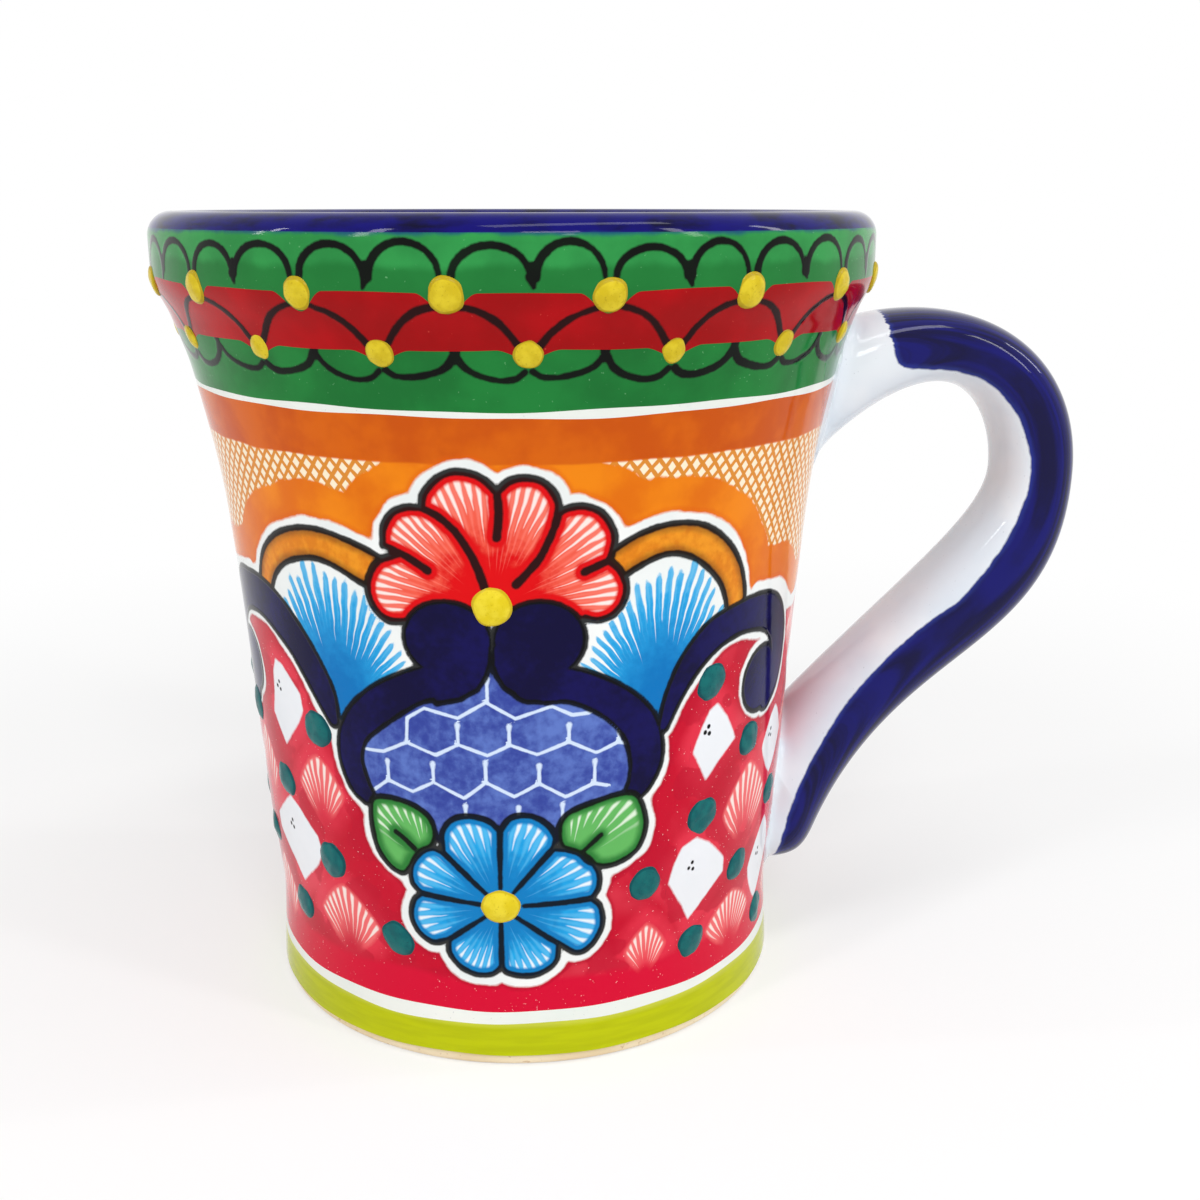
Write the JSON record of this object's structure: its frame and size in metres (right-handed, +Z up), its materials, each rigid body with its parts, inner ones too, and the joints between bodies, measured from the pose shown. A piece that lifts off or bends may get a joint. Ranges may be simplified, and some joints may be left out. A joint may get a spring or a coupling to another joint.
{
  "type": "handled earthenware mug",
  "caption": "Flared earthenware mug with a rolled rim, a strap handle, tin glaze painted with bands and flowers, and raised slip dots; holds a hot drink.",
  "frame": {"origin": "centre of the foot, on the plane that the mug stands on", "axes": "+Z up along the cup's axis, +X out through the handle, +Y to the back of the front flower panel"},
  "size_m": [0.1275, 0.0965, 0.108],
  "materials": {
    "bare_clay": "matte fired earthenware",
    "handle_clay": "matte fired earthenware",
    "clay_slip": "matte fired slip",
    "white_glaze": "gloss white tin glaze",
    "cobalt_glaze": "gloss cobalt glaze",
    "green_glaze": "gloss green glaze",
    "red_glaze": "gloss red glaze",
    "panel_glaze": "gloss painted glaze, orange above and crimson below",
    "olive_glaze": "gloss olive glaze",
    "yellow_slip": "gloss yellow slip",
    "teal_slip": "gloss teal slip"
  },
  "bodies": {
    "root": {"clay_body": "bare_clay", "clay_handle": "handle_clay", "upper_handle_joint": "clay_slip", "lower_handle_joint": "clay_slip", "inner_glaze": "white_glaze", "rim_glaze": "cobalt_glaze", "upper_green_band": "green_glaze", "red_band": "red_glaze", "lower_green_band": "green_glaze", "white_lines": "white_glaze", "panel_glaze": "panel_glaze", "foot_band": "olive_glaze", "handle_white_glaze": "white_glaze", "handle_blue_stripe": "cobalt_glaze", "upper_yellow_dots": "yellow_slip", "lower_yellow_dots": "yellow_slip", "flower_centres": "yellow_slip", "teal_dots": "teal_slip"}
  },
  "joints": []
}
